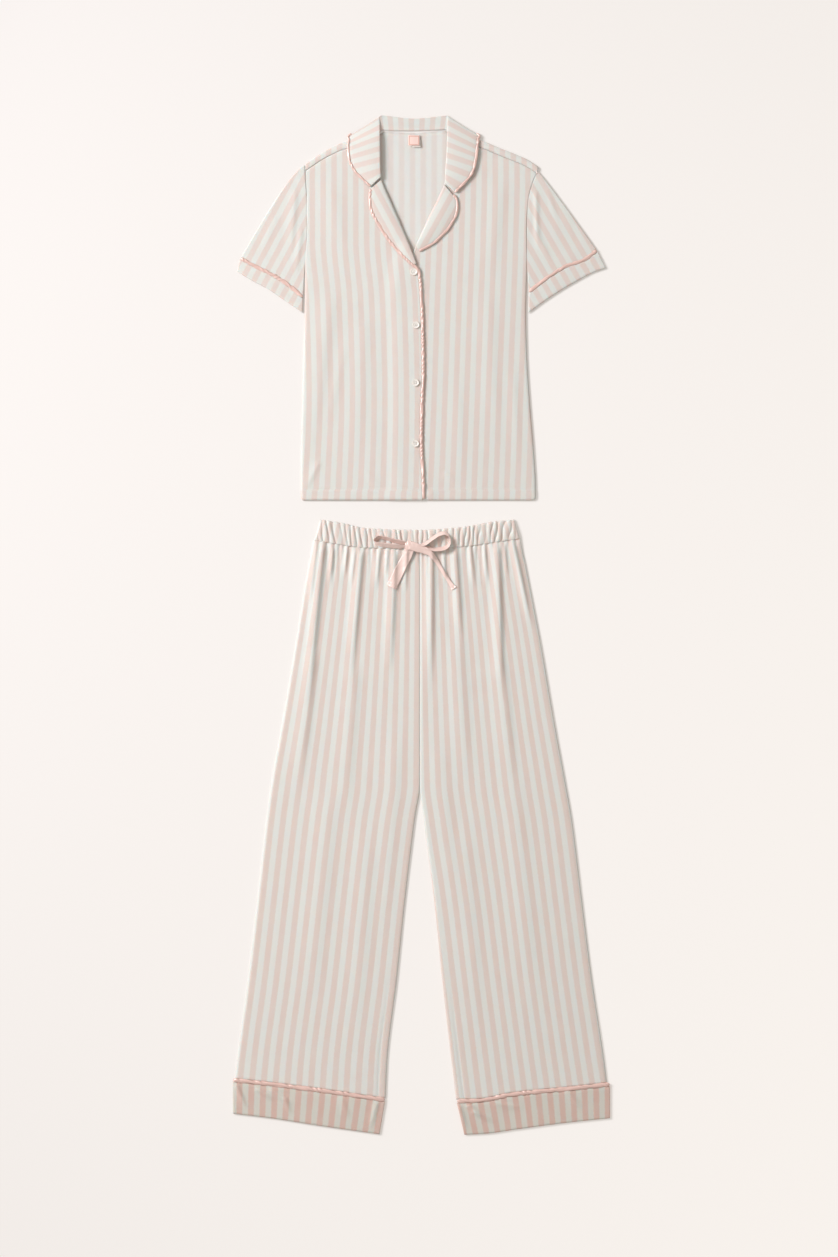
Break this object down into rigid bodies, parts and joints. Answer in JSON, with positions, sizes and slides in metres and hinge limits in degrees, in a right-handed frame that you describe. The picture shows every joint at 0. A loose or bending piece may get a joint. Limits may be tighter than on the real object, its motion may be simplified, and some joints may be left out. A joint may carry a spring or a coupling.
{
  "type": "pyjama set laid flat",
  "caption": "Short-sleeved striped jersey pyjama shirt with a notched collar and piped edges, laid flat above matching wide trousers with a gathered waist and a satin bow.",
  "frame": {"origin": "centre of the bounding box at the underside, where the set lies on the surface", "axes": "+X towards the wearer's left side, +Y up from the trouser cuffs to the collar, +Z up away from the surface, towards the front of the garments"},
  "size_m": [0.6163, 1.6623, 0.015],
  "materials": {
    "striped_jersey": "matte knitted jersey with soft pink and off-white stripes along the grain",
    "pink_satin": "satin weave with a soft sheen",
    "pearl": "pearly white, polished",
    "white_tape": "matte woven tape"
  },
  "bodies": {
    "root": {"shirt_back": "striped_jersey", "shirt_front_right": "striped_jersey", "shirt_front_left": "striped_jersey", "lapel_right": "striped_jersey", "lapel_left": "striped_jersey", "collar": "striped_jersey", "sleeve_right": "striped_jersey", "sleeve_left": "striped_jersey", "sleeve_cuff_right": "striped_jersey", "sleeve_cuff_left": "striped_jersey", "trouser_front_right": "striped_jersey", "trouser_front_left": "striped_jersey", "trouser_back_right": "striped_jersey", "trouser_back_left": "striped_jersey", "trouser_cuff_right": "striped_jersey", "trouser_cuff_left": "striped_jersey", "waistband": "striped_jersey", "collar_piping_right": "pink_satin", "collar_piping_left": "pink_satin", "front_piping_right": "pink_satin", "front_piping_left": "pink_satin", "sleeve_piping_right": "pink_satin", "sleeve_piping_left": "pink_satin", "leg_piping_right": "pink_satin", "leg_piping_left": "pink_satin", "bow_loop_right": "pink_satin", "bow_loop_left": "pink_satin", "bow_knot": "pink_satin", "bow_tail_right": "pink_satin", "bow_tail_left": "pink_satin", "neck_label": "pink_satin", "size_tab": "white_tape", "button_1": "pearl", "button_2": "pearl", "button_3": "pearl", "button_4": "pearl"}
  },
  "joints": []
}
